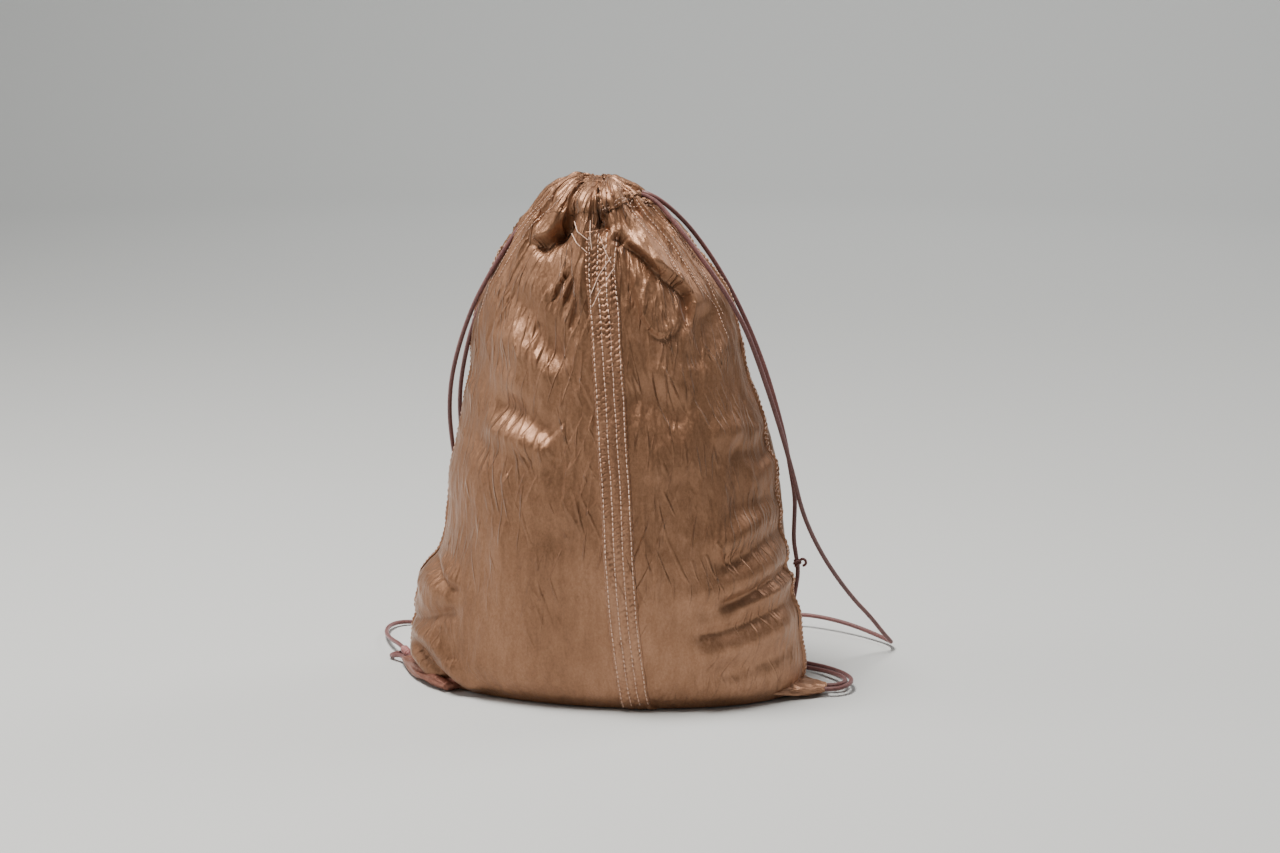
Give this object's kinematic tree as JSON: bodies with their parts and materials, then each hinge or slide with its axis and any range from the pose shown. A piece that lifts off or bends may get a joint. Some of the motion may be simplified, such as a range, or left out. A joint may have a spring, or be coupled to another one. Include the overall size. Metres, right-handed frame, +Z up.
{
  "type": "drawstring stuff sack",
  "caption": "Soft drawstring stuff sack worn as a backpack, standing full with a gathered mouth and two loop cords to its bottom corners.",
  "frame": {"origin": "on the ground under the middle of the sack, without its cords", "axes": "+Z up to the gathered mouth, the front panel with the stitched seam faces -Y, +X to the right seen from the front"},
  "size_m": [0.4187, 0.2661, 0.3975],
  "materials": {
    "sack_nylon": "shiny crinkled nylon satin",
    "seam_nylon": "folded and stitched nylon satin",
    "stitch_thread": "pale pink polyester thread",
    "tab_binding": "soft pink-brown woven binding",
    "cord": "dark plum braided cord",
    "cord_knot": "pink-brown braided cord, knotted tight",
    "contents_cloth": "plain soft spare clothing"
  },
  "bodies": {
    "root": {"packed_contents": "contents_cloth", "front_panel_left": "sack_nylon", "front_panel_right": "sack_nylon", "back_panel": "sack_nylon", "centre_seam_strip": "seam_nylon", "centre_seam_stitching": "stitch_thread", "side_seam_left": "seam_nylon", "side_seam_right": "seam_nylon", "bottom_seam": "seam_nylon", "front_drawcord_channel": "sack_nylon", "back_drawcord_channel": "sack_nylon", "front_mouth_gathers": "sack_nylon", "back_mouth_gathers": "sack_nylon", "corner_tab_left": "tab_binding", "corner_tab_right": "seam_nylon", "drawcord_left": "cord", "drawcord_right": "cord", "cord_knot_left": "cord_knot", "cord_knot_right": "cord"}
  },
  "joints": []
}
